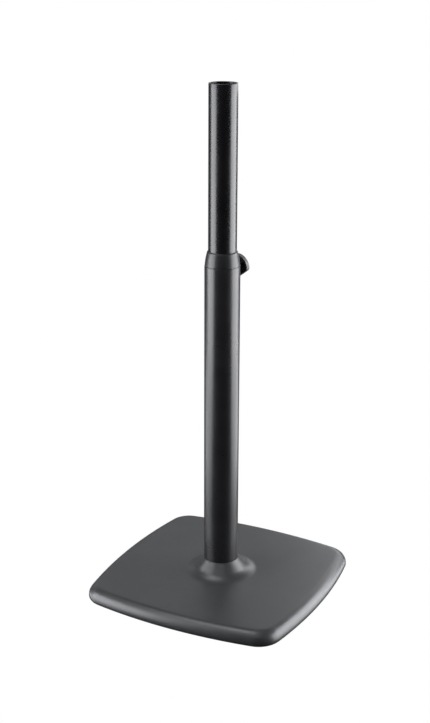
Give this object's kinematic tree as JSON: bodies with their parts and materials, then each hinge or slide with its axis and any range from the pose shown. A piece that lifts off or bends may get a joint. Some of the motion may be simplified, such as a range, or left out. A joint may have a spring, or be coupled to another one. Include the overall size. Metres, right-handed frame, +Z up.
{
  "type": "speaker stand",
  "caption": "Height-adjustable black pole stand for a loudspeaker: heavy square base with bowed sides, column, sliding pole and a clamp knob below the collar.",
  "frame": {"origin": "middle of the base's footprint, on the floor, under the column's axis", "axes": "+Z up along the column, +Y from the column towards the clamp knob, +X completes the right-handed frame; the base's sides lie along X and Y"},
  "size_m": [0.286, 0.286, 0.6504],
  "materials": {
    "base_paint": "textured black powder coat on cast iron",
    "foot_rubber": "matt black rubber",
    "zinc_steel": "bright zinc plated",
    "bolt_steel": "blackened steel",
    "plug_steel": "turned steel, lightly oiled",
    "column_paint": "satin black powder coat on steel tube",
    "boss_paint": "satin black powder coat on a welded steel boss",
    "black_acetal": "moulded black acetal",
    "collar_paint": "satin black",
    "wiper_rubber": "matt black rubber",
    "pole_paint": "satin black powder coat on steel tube",
    "spring_steel": "spring steel wire",
    "pad_plastic": "natural acetal",
    "screw_steel": "bright zinc plated",
    "knob_plastic": "fine-textured black nylon",
    "cap_plastic": "smooth black plastic"
  },
  "bodies": {
    "stand": {"base_casting": "base_paint", "foot_pads": "foot_rubber", "foot_washers": "zinc_steel", "foot_screws": "zinc_steel", "column_bolt": "bolt_steel", "column_bolt_washer": "zinc_steel", "column_bolt_spring_washer": "bolt_steel", "column_locating_pin": "bolt_steel", "column_foot_plug": "plug_steel", "drop_buffer": "foot_rubber", "column_tube": "column_paint", "clamp_boss": "boss_paint", "guide_sleeve": "black_acetal", "collar": "collar_paint", "wiper_ring": "wiper_rubber"},
    "guide_bush": {"slide_bush": "black_acetal"},
    "pole": {"pole_tube": "pole_paint", "bush_lower_snap_ring": "spring_steel", "bush_upper_snap_ring": "spring_steel"},
    "clamp_pad": {"pressure_pad": "pad_plastic"},
    "clamp_knob": {"clamp_screw": "screw_steel", "knob_grip": "knob_plastic", "knob_cap": "cap_plastic"}
  },
  "joints": [
    {"name": "height_slide", "type": "slide", "parent": "stand", "child": "guide_bush", "axis": [0, 0, 1], "range_m": [-0.165, 0.105]},
    {"name": "pole_swivel", "type": "hinge", "parent": "guide_bush", "child": "pole", "pos_m": [0, 0, 0.27], "axis": [0, 0, 1], "continuous": true},
    {"name": "clamp_screw_travel", "type": "slide", "parent": "stand", "child": "clamp_pad", "axis": [0, 1, 0], "range_m": [0, 0.0025]},
    {"name": "clamp_knob_turn", "type": "hinge", "parent": "clamp_pad", "child": "clamp_knob", "pos_m": [0, 0.03, 0.4223], "axis": [0, 1, 0], "range_deg": [0, 720]}
  ],
  "couplings": [
    {"joint": "clamp_knob_turn", "follows": "clamp_screw_travel", "rad_per_m": 5026.5}
  ]
}
